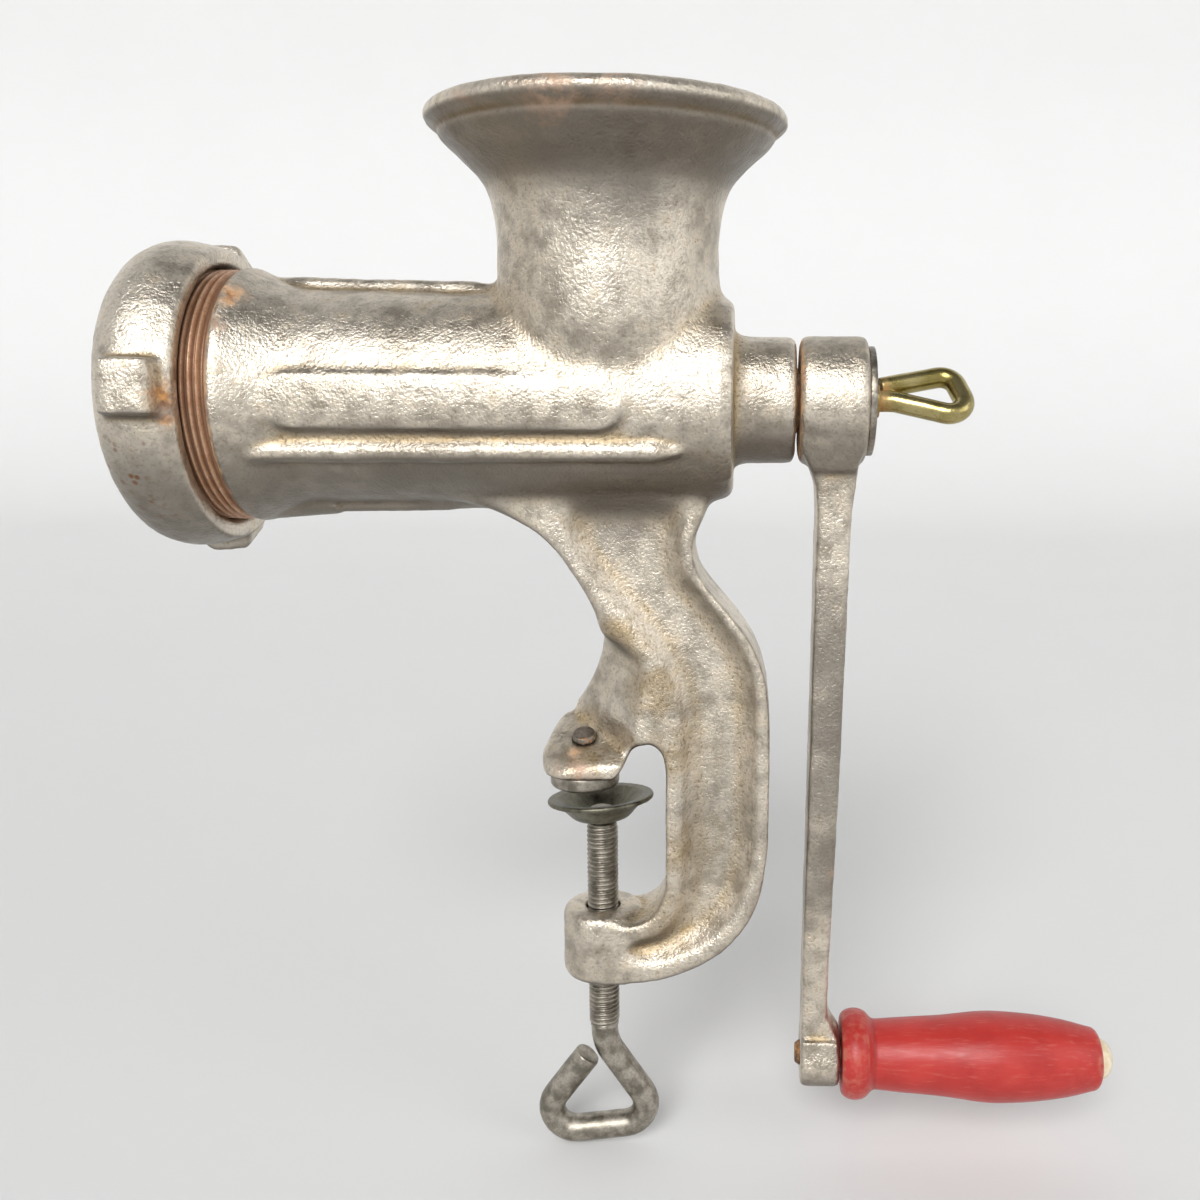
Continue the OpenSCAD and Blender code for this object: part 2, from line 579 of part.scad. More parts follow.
// Crank with hub, arm and eye
module crank_arm() {
  color([0.62, 0.58, 0.52]) at_axis() difference() {
    union() {
      along_x() rotate_extrude() polygon(concat([[0, hub_x]], arc([hub_r - 2.4, hub_x + 2.4],
        2.4, -90, 0, 5),
        arc([hub_r - 2.4, hub_end - 2.4], 2.4, 0, 90, 5), [[0, hub_end]]));
      intersection() {
        side_plate(concat([[hub_x + 0.6, -4], [hub_x + 0.6, -15]],
          curve([[hub_x + 2.6, -19], [hub_x + 5, -24.5], [arm_x + 0.6, -33], [arm_x + 0.5, -70],
            [arm_x, -crank_len * 0.6],
            [arm_x - 0.4, -crank_len * 0.8], [arm_x - 0.4, -crank_len]], 3),
          curve([[eye_end - 0.6, -crank_len], [eye_end - 0.8, -crank_len + eye_r * 0.8],
            [arm_x + arm_t2 + 1, -crank_len + eye_r * 1.25],
              [arm_x + arm_t2 - 0.4, -crank_len + eye_r * 2.2],
            [arm_x + arm_t2 + 1.2, -crank_len * 0.6], [arm_x + arm_t1, -70], [arm_x + arm_t1 + 0.4, -38],
            [arm_x + arm_t1 + 1.4, -27], [hub_end - 2.2, -18]], 3),
          [[hub_end - 0.8, -13], [hub_end - 0.8, -4]]), 2 * hub_r);
        along_x(hub_x - 1) linear_extrude(height = hub_len + 2) polygon(concat(
          [[4, hub_r - 1.5], [12, hub_r - 3.4]],
          curve([[22, arm_w1 / 2 + 1.6], [34, arm_w1 / 2], [crank_len - 24, arm_w2 / 2],
            [crank_len - 10, eye_r * 0.86],
            [crank_len, eye_r - 0.4]], 3),
          curve([[crank_len, -eye_r + 0.4], [crank_len - 10, -eye_r * 0.86],
            [crank_len - 24, -arm_w2 / 2],
            [34, -arm_w1 / 2], [22, -arm_w1 / 2 - 1.6]], 3),
          [[12, -hub_r + 3.4], [4, -hub_r + 1.5]]));
      }
      translate([0, 0, -crank_len]) along_x() rotate_extrude() polygon(concat([[0, arm_x - 0.5]],
        arc([eye_r - 1.4, arm_x + 0.9], 1.4, -90, 0, 4), arc([eye_r - 1.4, eye_end - 1.4],
          1.4, 0, 90, 4), [[0, eye_end]]));
    }
    along_x(hub_x - 1) translate([-drive_sq / 2, -drive_sq / 2, 0]) cube([drive_sq, drive_sq,
      hub_len + 2]);
    translate([0, 0, -crank_len]) along_x(arm_x - 2) cylinder(r = bolt_r, h = eye_len + 4);
  }
}

// Washer between the crank and its screw
module crank_washer() {
  color([0.55, 0.53, 0.5]) at_axis() along_x(hub_end) difference() {
    cylinder(r = washer_r, h = washer_t);
    translate([0, 0, -1]) cylinder(r = crank_screw_r + loose_fit, h = washer_t + 2);
  }
}

// Crank screw, bent to a loop
module crank_screw() {
  r = loop_rod_r;
  color([0.72, 0.6, 0.3]) at_axis() rotate([loop_turn, 0, 0]) rotate([90, 0, 0]) {
    along_x(drive_end - crank_thread) cylinder(r = crank_screw_r,
      h = washer_end - drive_end + crank_thread);
    along_x(washer_end) cylinder(r = crank_screw_r + 1.6, h = 2);
    bent_rod([[washer_end, 0], [washer_end + 7, 0], [washer_end + crank_loop_len, -crank_loop_down],
      [washer_end + crank_loop_len - 5.8, crank_loop_up], [washer_end + 2.6, crank_loop_up - 6]],
      [2 * r, 1.5 * r, 1.5 * r], r);
  }
}

// Red wooden grip that turns on its bolt
module grip() {
  g = grip_len;
  c = grip_collar_r;
  outside = concat([for (a = [-70:20:70]) [c - 3.6 + 3.6 * cos(a), 5.3 + 5.3 * sin(a)]],
    curve([[grip_neck_r + 0.1, 11.4], [grip_neck_r, 13], [grip_neck_r + 0.7, g * 0.24],
      [grip_r - 1.7, g * 0.4],
      [grip_r - 0.3, g * 0.53], [grip_r, g * 0.62], [grip_r - 0.8, g * 0.75], [grip_r - 2.4, g * 0.87],
      [grip_end_r + 2, g - 4]], 3), arc([grip_end_r - 1.2, g - 3], 3, 25, 90, 4));
  color([0.7, 0.1, 0.1]) at_axis() translate([0, 0, -crank_len]) along_x(grip_x) difference() {
    rotate_extrude() polygon(concat([[0, 0.32]], outside, [[0, g]]));
    translate([0, 0, -1]) cylinder(r = bolt_r + loose_fit, h = g);
    translate([0, 0, g - 16]) cylinder(r = plug_r - 0.8, h = 20);
  }
}

// Bolt on which the grip turns, riveted into the crank's eye
module grip_bolt() {
  color([0.45, 0.42, 0.4]) at_axis() translate([0, 0, -crank_len]) {
    along_x(arm_x - 0.5) cylinder(r = bolt_r, h = eye_len + grip_len - 14);
    along_x(arm_x - 2.3) cylinder(r1 = bolt_r - 0.8, r2 = bolt_r + 0.6, h = 1.8);
    along_x(grip_x + grip_len - 16 + loose_fit) cylinder(r = plug_r - 1.4, h = 3.4);
  }
}

// Pale plug that closes the grip's end
module grip_plug() {
  d = 5.2;
  color([0.85, 0.8, 0.68]) at_axis() translate([0, 0, -crank_len]) along_x(grip_x + grip_len) union() {
    rotate_extrude() polygon(concat([[0, 0]], [for (a = [0:10:90]) [plug_r * cos(a), d * sin(a)]]));
    translate([0, 0, -6]) cylinder(r = plug_r - 0.8, h = 7);
  }
}

// Round pad under the foot
module jaw_pad() {
  color([0.6, 0.58, 0.55]) difference() {
    rotate_extrude() polygon(concat([[0, 0]], arc([pad_r - 1, 1],
      1, -90, 0, 3), arc([pad_r - 0.8, pad_t - 0.8], 0.8, 0, 90, 3),
      [[0, pad_t]]));
    translate([0, 0, 1.5]) cylinder(r = rivet_r, h = pad_t);
  }
}

// Rivet through foot and pad
module jaw_rivet() {
  color([0.35, 0.34, 0.34]) {
    translate([0, 0, 1.5]) cylinder(r = rivet_r, h = foot_top - 1.5);
    translate([0, 0, foot_top]) rotate([foot_tilt, 0, 0]) cylinder(r1 = rivet_head_r,
      r2 = rivet_head_r - 0.7, h = 1.8);
  }
}

// Clamp screw with peened neck above and a bent loop below
module clamp_screw() {
  top = cup_floor - 0.8;
  thread_end = clamp_bottom - clamp_thread;
  bend = thread_end - 1.5 * clamp_rod_r;
  color([0.5, 0.5, 0.5]) translate([screw_x, 0, 0]) {
    translate([0, 0, thread_end]) cylinder(r = clamp_screw_r, h = top - thread_end);
    translate([0, 0, top - 1]) cylinder(r = clamp_neck_r, h = cup_t + 3.4);
    translate([0, 0, cup_floor + cup_t + 0.8]) cylinder(r1 = clamp_neck_r + 1.6,
      r2 = clamp_neck_r + 0.6, h = 2);
    rotate([90, 0, 0]) bent_rod([[0, thread_end + 1], [0, bend], [clamp_loop_in, bend - clamp_loop_h + 7],
      [-clamp_loop_out, bend - clamp_loop_h], [-6, bend - 5.4]], [3.5 * clamp_rod_r, 8.5, 8.5],
        clamp_rod_r);
  }
}

// Loose dished cup on the clamp screw
module clamp_cup() {
  t = cup_t;
  r = cup_r;
  color([0.5, 0.5, 0.48]) translate([screw_x, 0, cup_floor]) rotate([-cup_nod, -cup_lean, 0])
    rotate_extrude() polygon(concat(
      [[clamp_neck_r + 0.7, 0]], curve([[r * 0.375, 0], [r * 0.54, 1.2], [r * 0.71, cup_h * 0.5],
        [r * 0.86, cup_h * 0.78], [r, cup_h - t]], 3),
      [[r + 0.4, cup_h - t / 2], [r, cup_h]],
      curve([[r * 0.82, cup_h * 0.78 + t], [r * 0.63, cup_h * 0.5 + t], [r * 0.465, 1.2 + t],
        [r * 0.345, t]], 3),
      [[clamp_neck_r + 0.7, t]]));
}

body_casting();
ring_nut();
cutting_plate();
plate_pin();
knife();
knife_stud();
feed_screw();
thrust_washer();
crank_arm();
crank_washer();
crank_screw();
grip();
grip_bolt();
grip_plug();
jaw_pad();
jaw_rivet();
clamp_screw();
clamp_cup();
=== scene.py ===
"""Manual meat grinder: camera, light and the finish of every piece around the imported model."""

import math

import bmesh
import bpy
import numpy as np
from mathutils import Matrix, Vector, kdtree, noise


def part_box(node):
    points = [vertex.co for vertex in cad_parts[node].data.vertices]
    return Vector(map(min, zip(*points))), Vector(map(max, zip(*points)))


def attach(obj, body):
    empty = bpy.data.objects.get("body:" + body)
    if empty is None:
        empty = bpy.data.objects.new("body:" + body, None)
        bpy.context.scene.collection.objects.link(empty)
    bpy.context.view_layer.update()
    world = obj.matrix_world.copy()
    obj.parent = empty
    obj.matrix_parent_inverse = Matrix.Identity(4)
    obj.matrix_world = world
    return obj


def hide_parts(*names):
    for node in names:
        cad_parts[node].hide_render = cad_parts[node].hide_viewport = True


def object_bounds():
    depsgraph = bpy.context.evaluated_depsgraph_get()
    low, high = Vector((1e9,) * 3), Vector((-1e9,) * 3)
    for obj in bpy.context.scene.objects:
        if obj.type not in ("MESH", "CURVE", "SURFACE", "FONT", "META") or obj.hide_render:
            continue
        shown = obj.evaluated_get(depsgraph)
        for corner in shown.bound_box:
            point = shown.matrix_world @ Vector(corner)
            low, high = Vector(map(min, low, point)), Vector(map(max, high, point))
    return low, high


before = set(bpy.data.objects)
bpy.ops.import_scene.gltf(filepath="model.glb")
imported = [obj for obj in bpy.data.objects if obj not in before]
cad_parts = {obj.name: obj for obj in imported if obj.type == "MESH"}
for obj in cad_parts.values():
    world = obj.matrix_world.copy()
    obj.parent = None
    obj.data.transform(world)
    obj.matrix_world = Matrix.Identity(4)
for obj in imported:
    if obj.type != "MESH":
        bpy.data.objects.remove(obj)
cad_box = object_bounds()
MM = 0.001


def middle(node):
    """Middle of a node's box."""
    low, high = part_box(node)
    return (low + high) / 2


# Places that the frame gives
AXLE = middle("crank_washer")
WASHER_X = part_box("crank_washer")[1].x
HUB_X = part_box("crank_arm")[0].x
RING_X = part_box("ring_nut")[1].x
PLATE_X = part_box("cutting_plate")[0].x
RIM_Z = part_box("body_casting")[1].z
JAW_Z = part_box("jaw_pad")[1].z

# Places and sizes inside the casting, which the frame does not give
SHOULDER_X = RING_X + 6.8 * MM
NECK_R = 39 * MM
HOPPER_X = 10 * MM
RIM_INNER_R = 50 * MM
RIM_OUTER_R = 51.5 * MM
RIM_LINE = 7.6 * MM
FRAME_Y = 13.5 * MM
RECESS_Y = 8 * MM
SCREW_X = 5.8 * MM
BOSS_TOP = -44.5 * MM
BOSS_LOW = -71 * MM

# Threads, which lie over plain rods of the CAD
OUTLET_R, OUTLET_DEPTH, OUTLET_PITCH = 39.8 * MM, 1.5 * MM, 2.4 * MM
CLAMP_R, CLAMP_DEPTH, CLAMP_PITCH = 5.4 * MM, 0.7 * MM, 1.7 * MM
CLAMP_THREAD_LOW, CLAMP_THREAD_LENGTH = -90.5 * MM, 76.4 * MM


# Shares and distances

def ease(value, low, high):
    """Share from 0 at low to 1 at high, with soft ends."""
    t = np.clip((value - low) / (high - low), 0, 1)
    return t * t * (3 - 2 * t)


def bell(value, at, width):
    """Share of 1 at a value, falling away on both sides over a width."""
    return np.exp(-((value - at) / width) ** 2)


def from_axle(places):
    """Distance of each place from the crank's axle."""
    return np.hypot(places[:, 1] - AXLE.y, places[:, 2] - AXLE.z)


def from_hopper(places):
    """Distance of each place from the hopper's upright middle line."""
    return np.hypot(places[:, 0] - HOPPER_X, places[:, 1])


def from_screw(places):
    """Distance of each place from the clamp screw's middle line."""
    return np.hypot(places[:, 0] - SCREW_X, places[:, 1])


# Mesh helpers

def points(mesh):
    """Places of a mesh's points, one row each."""
    flat = np.empty(len(mesh.vertices) * 3)
    mesh.vertices.foreach_get("co", flat)
    return flat.reshape(-1, 3)


def move_points(mesh, places):
    """Puts a mesh's points at new places."""
    mesh.vertices.foreach_set("co", places.ravel())
    mesh.update()


def normals(mesh):
    """Directions in which a mesh's points face, one row each."""
    flat = np.empty(len(mesh.vertices) * 3)
    mesh.vertex_normals.foreach_get("vector", flat)
    return flat.reshape(-1, 3)


def smoothed(mesh, places, steps, share=0.5, back=0.0):
    """Places drawn towards the mean of their neighbours, step by step; a step back keeps the bulk."""
    ends = np.empty(len(mesh.edges) * 2, np.int32)
    mesh.edges.foreach_get("vertices", ends)
    a, b = ends.reshape(-1, 2).T
    total = len(places)
    count = np.bincount(a, minlength=total) + np.bincount(b, minlength=total)
    for step in range(steps * (2 if back else 1)):
        mean = np.stack([np.bincount(a, places[b, k], total) + np.bincount(b, places[a, k], total)
                         for k in range(3)], 1) / count[:, None]
        pull = -back * share if back and step % 2 else share
        places = places + pull * (mean - places)
    return places


def field(places, size, seed=0.0):
    """Noise from -1 to 1 whose bumps are about the given size."""
    scaled = (places / size + seed).tolist()
    return np.fromiter((noise.noise(Vector(p)) for p in scaled), float, len(scaled))


def add_object(name, data):
    """A new object in the scene."""
    made = bpy.data.objects.new(name, data)
    bpy.context.scene.collection.objects.link(made)
    return made


def cad_copy(node, name):
    """A welded copy of a CAD node's mesh as a new piece."""
    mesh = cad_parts[node].data.copy()
    mesh.materials.clear()
    build = bmesh.new()
    build.from_mesh(mesh)
    bmesh.ops.remove_doubles(build, verts=build.verts, dist=1e-6)
    build.to_mesh(mesh)
    build.free()
    return add_object(name, mesh)


def remesh(piece, voxel):
    """Gives a piece an even skin of small faces."""
    change = piece.modifiers.new("skin", "REMESH")
    change.mode = "VOXEL"
    change.voxel_size = voxel
    bpy.context.view_layer.update()
    graph = bpy.context.evaluated_depsgraph_get()
    mesh = bpy.data.meshes.new_from_object(piece.evaluated_get(graph))
    piece.modifiers.clear()
    piece.data = mesh


def store(mesh, name, values):
    """Keeps a value at each point, for a material to read."""
    attribute = mesh.attributes.new(name, "FLOAT", "POINT")
    attribute.data.foreach_set("value", values.astype(np.float32))


def skin(node, name, voxel, steps, bumps=(), shape=None, softer=None, hold=None):
    """A fine copy of a CAD node with worn edges and a cast or worked surface, which stands for the node."""
    piece = cad_copy(node, name)
    remesh(piece, voxel)
    if shape:
        move_points(piece.data, shape(piece.data, points(piece.data)))
        remesh(piece, voxel)
    mesh = piece.data
    places = points(mesh)
    free = 1 - hold(places)[:, None] if hold else 1.0
    if softer:
        places = softer(mesh, places)
    places = smoothed(mesh, places, steps, 0.5 * free)
    move_points(mesh, places)
    out = normals(mesh)
    hollow = ((smoothed(mesh, places, 24) - places) * out).sum(1) / (0.5 * voxel)
    if bumps:
        height = sum(rise * field(places, size, seed) for seed, (size, rise) in enumerate(bumps))
        move_points(mesh, places + out * height[:, None])
    store(mesh, "hollow", np.clip(hollow, -1, 1))
    # How far each point faces down, which the painted underside shade reads.
    store(mesh, "under", np.clip(-out[:, 2], 0, 1))
    mesh.shade_smooth()
    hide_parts(node)
    return piece


def thread(name, start, axis, length, radius, depth, pitch, sides, per_turn=10):
    """A right-hand thread on a closed rod, along an axis from its start."""
    turn = Vector(axis).to_track_quat("Z", "Y").to_matrix()
    rows = max(8, round(length / pitch * per_turn))
    z = np.linspace(0, length, rows + 1)
    angle = np.arange(sides) * 2 * math.pi / sides
    phase = (z[:, None] / pitch - angle[None, :] / (2 * math.pi)) % 1
    tooth = ease(1.6 * np.abs(2 * phase - 1) - 0.3, 0, 1)
    crest = tooth * np.clip(np.minimum(z, length - z) / pitch, 0, 1)[:, None]
    r = radius - depth * (1 - crest)
    ring = np.stack([r * np.cos(angle), r * np.sin(angle), np.broadcast_to(z[:, None], r.shape)], -1)
    places = ring.reshape(-1, 3) @ np.array(turn).T + np.array(start)
    quad = [(k, (k + 1) % sides, sides + (k + 1) % sides, sides + k) for k in range(sides)]
    faces = [tuple(i * sides + corner for corner in corners) for i in range(rows) for corners in quad]
    faces.append(tuple(range(sides - 1, -1, -1)))
    faces.append(tuple(rows * sides + k for k in range(sides)))
    mesh = bpy.data.meshes.new(name)
    mesh.from_pydata(places.tolist(), [], faces)
    store(mesh, "hollow", np.clip(1 - 2 * crest, -1, 1).ravel())
    mesh.shade_smooth()
    return add_object(name, mesh)


# Materials

class Paint:
    """A material with short calls for the nodes that its finish needs."""

    def __init__(self, name):
        self.material = bpy.data.materials.new(name)
        self.material.use_nodes = True
        self.tree = self.material.node_tree
        self.shader = self.tree.nodes["Principled BSDF"]
        self.place = self.tree.nodes.new("ShaderNodeTexCoord").outputs["Object"]

    def put(self, socket, value):
        """Links a node's output to a socket, or sets the socket to a plain value."""
        if isinstance(value, bpy.types.NodeSocket):
            self.tree.links.new(value, socket)
        else:
            socket.default_value = value

    def node(self, kind, inputs=(), **settings):
        """A node with its settings and inputs."""
        made = self.tree.nodes.new(kind)
        for key, value in settings.items():
            setattr(made, key, value)
        for key, value in dict(inputs).items():
            self.put(made.inputs[key], value)
        return made

    def noise(self, size, detail=3, rough=0.55, stretch=None, seed=0.0):
        """Noise from 0 to 1 whose spots are about the given size."""
        place = self.place
        if stretch or seed:
            place = self.node("ShaderNodeMapping", {"Vector": place, "Scale": stretch or (1, 1, 1),
                                                    "Location": (seed, seed, seed)}).outputs[0]
        return self.node("ShaderNodeTexNoise", {"Vector": place, "Scale": 1 / size, "Detail": detail,
                                                "Roughness": rough}).outputs["Fac"]

    def spots(self, size, seed=0.0):
        """Distance from the middle of the nearest of many scattered spots, in spot sizes."""
        shift = {"Vector": self.place, "Location": (seed, seed, seed)}
        place = self.node("ShaderNodeMapping", shift).outputs[0]
        return self.node("ShaderNodeTexVoronoi", {"Vector": place, "Scale": 1 / size}).outputs["Distance"]

    def span(self, value, low, high, to_low=0.0, to_high=1.0):
        """A value between low and high as a share from to_low to to_high, with soft ends."""
        return self.node("ShaderNodeMapRange", {"Value": value, "From Min": low, "From Max": high,
                                                "To Min": to_low, "To Max": to_high},
                         interpolation_type="SMOOTHSTEP").outputs[0]

    def calc(self, operation, a, b):
        """A sum, product or other result of two values."""
        return self.node("ShaderNodeMath", {0: a, 1: b}, operation=operation).outputs[0]

    def blend(self, share, a, b):
        """Colour a where the share is 0, and b where it is 1."""
        made = self.node("ShaderNodeMix", data_type="RGBA")
        for key, value in ((0, share), (6, a), (7, b)):
            self.put(made.inputs[key], (*value, 1) if isinstance(value, tuple) else value)
        return made.outputs[2]

    def attribute(self, name):
        """The value that store() kept at the mesh's points, or 0 where none was kept."""
        return self.node("ShaderNodeAttribute", attribute_name=name).outputs["Fac"]

    def near(self, place, radius, ragged=0.3):
        """1 at a place of the object, falling to 0 at a radius with a ragged edge."""
        gap = self.node("ShaderNodeVectorMath", {0: self.place, 1: place}, operation="DISTANCE")
        stray = self.span(self.noise(radius / 2, 4), 0.25, 0.75, -radius * ragged, radius * ragged)
        return self.span(self.calc("ADD", gap.outputs["Value"], stray), radius, 0.0)

    def band(self, axis, at, width):
        """1 on a plane across an axis, falling to 0 a width away, with a ragged edge."""
        part = self.node("ShaderNodeSeparateXYZ", {0: self.place}).outputs[axis]
        ragged = self.calc("ADD", part, self.span(self.noise(4 * MM), 0.2, 0.8, -width / 2, width / 2))
        away = self.calc("ABSOLUTE", self.calc("SUBTRACT", ragged, at), 0)
        return self.span(away, width, 0.3 * width)

    def most(self, *values):
        """The largest of some values."""
        best = values[0]
        for value in values[1:]:
            best = self.calc("MAXIMUM", best, value)
        return best

    def bump(self, height, distance, strength=1.0, normal=None):
        """A fine relief, on top of another one if that is given."""
        inputs = {"Height": height, "Distance": distance, "Strength": strength}
        if normal:
            inputs["Normal"] = normal
        return self.node("ShaderNodeBump", inputs).outputs[0]

    def finish(self, **sockets):
        """Puts values on the shader, whose socket names are written with small letters and underscores."""
        for key, value in sockets.items():
            key = key.replace("_", " ").title().replace("Ior", "IOR")
            if isinstance(value, tuple) and len(value) == 3:
                value = (*value, 1)
            self.put(self.shader.inputs[key], value)
        return self.material


TIN = (0.77, 0.70, 0.595)
TIN_DULL = (0.43, 0.38, 0.31)
PAINTED_UNDERSIDE_SHADE = (0.17, 0.15, 0.125)
TARNISH = (0.47, 0.35, 0.19)
PIT_AND_GROOVE_SHADE = (0.20, 0.15, 0.09)
PAINTED_REFLECTION = (0.20, 0.18, 0.155)
BLUSH = (0.44, 0.29, 0.20)
RUST = (0.56, 0.27, 0.08)
OLD_RUST = (0.22, 0.10, 0.045)


def spot_shares(p, places):
    """The share of each spot, a stain or a painted dark reflection, from its place, radius and strength."""
    return [p.calc("MULTIPLY", p.near(place, radius), share) for place, radius, share in places]


def edges(p, bands):
    """The share of each stained edge, from its axis, place, width and strength."""
    return [p.calc("MULTIPLY", p.band(axis, at, width), share) for axis, at, width, share in bands]


def pits_and_painted_shade(p, color, cloud, patch, painted_reflections, pits):
    """Painted dark reflections, painted shade on the undersides and along the groove below the rim, and rusty
    pits over a colour.
    """
    # Painted dark reflections, in dark patches at the listed places.
    if painted_reflections:
        dark = p.calc("MULTIPLY", p.most(*spot_shares(p, painted_reflections)), p.span(patch, 0.2, 0.6, 0.6, 1))
        color = p.blend(dark, color, PAINTED_REFLECTION)
    # Painted shade on the undersides, darker the more a point faces down.
    shade = p.span(p.attribute("under"), 0.08, 0.70, 0, 0.9)
    color = p.blend(p.calc("MULTIPLY", shade, p.span(patch, 0.25, 0.55, 0.75, 1)), color, PAINTED_UNDERSIDE_SHADE)
    # Painted shade along the groove below the rim.
    color = p.blend(p.calc("MULTIPLY", p.attribute("line"), p.span(cloud, 0.4, 0.6, 0.3, 0.9)), color, PIT_AND_GROOVE_SHADE)
    if pits:
        hole = p.calc("MULTIPLY", p.most(*spot_shares(p, pits)), p.span(p.spots(3.4 * MM, 1.3), 0.36, 0.14))
        color = p.blend(hole, color, OLD_RUST)
    return color


def tinned_casting(name, dull=0.0, rust=(), painted_reflections=(), tan=(), blush=(), bands=(), pits=()):
    """Hot-tinned cast iron: bright where it is rubbed, tan in the hollows, with pits and stains, painted dark
    reflections, and painted shade on the undersides and along the groove below the rim.
    """
    p = Paint(name)
    cloud = p.noise(24 * MM, 4)
    patch = p.noise(6 * MM, 5, 0.6)
    grain = p.noise(1.0 * MM, 3, 0.6)
    worn = p.calc("ADD", p.calc("MULTIPLY", cloud, 0.5), p.calc("MULTIPLY", patch, 0.5))
    color = p.blend(p.span(worn, 0.36 + dull, 0.60 + dull), TIN_DULL, TIN)
    brown = p.calc("ADD", p.span(p.attribute("hollow"), 0.0, 0.9, 0, 0.7), p.span(patch, 0.48, 0.75, 0, 0.35))
    brown = p.most(brown, *spot_shares(p, tan))
    color = p.blend(brown, color, TARNISH)
    speckle = p.calc("MULTIPLY", p.span(grain, 0.51, 0.28, 0, 0.75), p.span(brown, 0.05, 0.5, 0.55, 1))
    color = p.blend(speckle, color, PIT_AND_GROOVE_SHADE)
    speck = p.span(p.noise(2.4 * MM, 5, 0.65, seed=3.1), 0.69, 0.76, 0, 0.6)
    color = p.blend(speck, color, OLD_RUST)
    rough = p.span(p.calc("ADD", patch, brown), 0.3, 1.3, 0.34, 0.52)
    metal = p.span(speck, 0.0, 0.6, 1.0, 0.5)
    color = pits_and_painted_shade(p, color, cloud, patch, painted_reflections, pits)
    if blush:
        pink = p.calc("MULTIPLY", p.most(*spot_shares(p, blush)), p.span(patch, 0.35, 0.6))
        color = p.blend(pink, color, BLUSH)
        metal = p.calc("MINIMUM", metal, p.span(pink, 0, 1, 1.0, 0.4))
    if rust or bands:
        orange = p.most(*spot_shares(p, rust), *edges(p, bands))
        color = p.blend(orange, color, p.blend(p.span(patch, 0.40, 0.58), OLD_RUST, RUST))
        rough = p.most(rough, p.span(orange, 0, 1, 0.28, 0.8))
        metal = p.calc("MINIMUM", metal, p.span(orange, 0.1, 0.8, 1.0, 0.15))
    pebble = p.bump(grain, 0.36 * MM)
    pitted = p.bump(p.span(p.spots(2.4 * MM), 0.10, 0.30), 0.12 * MM, 0.4, pebble)
    return p.finish(base_color=color, metallic=metal, roughness=rough, normal=pitted)


def worked_steel(name, color, dark, rough=0.38, rust_share=0.0):
    """Rolled or turned steel, greyed with age, darker in its hollows."""
    p = Paint(name)
    patch = p.noise(5 * MM, 5, 0.6)
    streak = p.noise(0.9 * MM, 3, 0.6)
    tone = p.blend(p.span(patch, 0.35, 0.65), dark, color)
    tone = p.blend(p.span(p.attribute("hollow"), 0.05, 0.6, 0, 0.8), tone, dark)
    tone = p.blend(p.span(streak, 0.55, 0.35, 0, 0.4), tone, dark)
    metal = 1.0
    if rust_share:
        rusty = p.span(p.noise(2.5 * MM, 5, 0.65, seed=1.7), 0.62 - 0.3 * rust_share, 0.72 - 0.2 * rust_share)
        tone = p.blend(rusty, tone, p.blend(streak, OLD_RUST, RUST))
        metal = p.span(rusty, 0, 1, 1.0, 0.2)
    shine = p.span(patch, 0.3, 0.7, rough - 0.06, rough + 0.14)
    return p.finish(base_color=tone, metallic=metal, roughness=shine, normal=p.bump(streak, 0.05 * MM))


def rusty_thread(name):
    """An old thread, browned all over, rubbed coppery on its crests."""
    brown, copper, root = (0.40, 0.21, 0.115), (0.54, 0.34, 0.22), (0.17, 0.085, 0.045)
    p = Paint(name)
    patch = p.noise(6 * MM, 5, 0.6)
    fine = p.noise(0.8 * MM, 3)
    tone = p.blend(p.span(patch, 0.35, 0.65), brown, copper)
    tone = p.blend(p.span(p.attribute("hollow"), -0.2, 0.9, 0, 0.75), tone, root)
    tone = p.blend(p.span(fine, 0.48, 0.3, 0, 0.5), tone, OLD_RUST)
    return p.finish(base_color=tone, metallic=p.span(patch, 0.3, 0.7, 0.25, 0.55),
                    roughness=p.span(fine, 0.3, 0.7, 0.5, 0.36), normal=p.bump(fine, 0.1 * MM))


def yellow_zinc(name):
    """Yellow passivated zinc with a greenish shimmer, and rust at the neck."""
    olive, gold, dirt = (0.30, 0.245, 0.08), (0.47, 0.40, 0.19), (0.16, 0.12, 0.04)
    p = Paint(name)
    hue = p.noise(9 * MM, 2)
    fine = p.noise(0.8 * MM, 3)
    tone = p.blend(p.span(hue, 0.35, 0.65), olive, gold)
    tone = p.blend(p.span(fine, 0.5, 0.3, 0, 0.4), tone, dirt)
    neck = p.near((WASHER_X, AXLE.y, AXLE.z), 10 * MM)
    tone = p.blend(neck, tone, p.blend(fine, OLD_RUST, RUST))
    return p.finish(base_color=tone, metallic=p.span(neck, 0, 1, 1.0, 0.2),
                    roughness=p.span(neck, 0, 1, 0.27, 0.8), normal=p.bump(fine, 0.05 * MM))


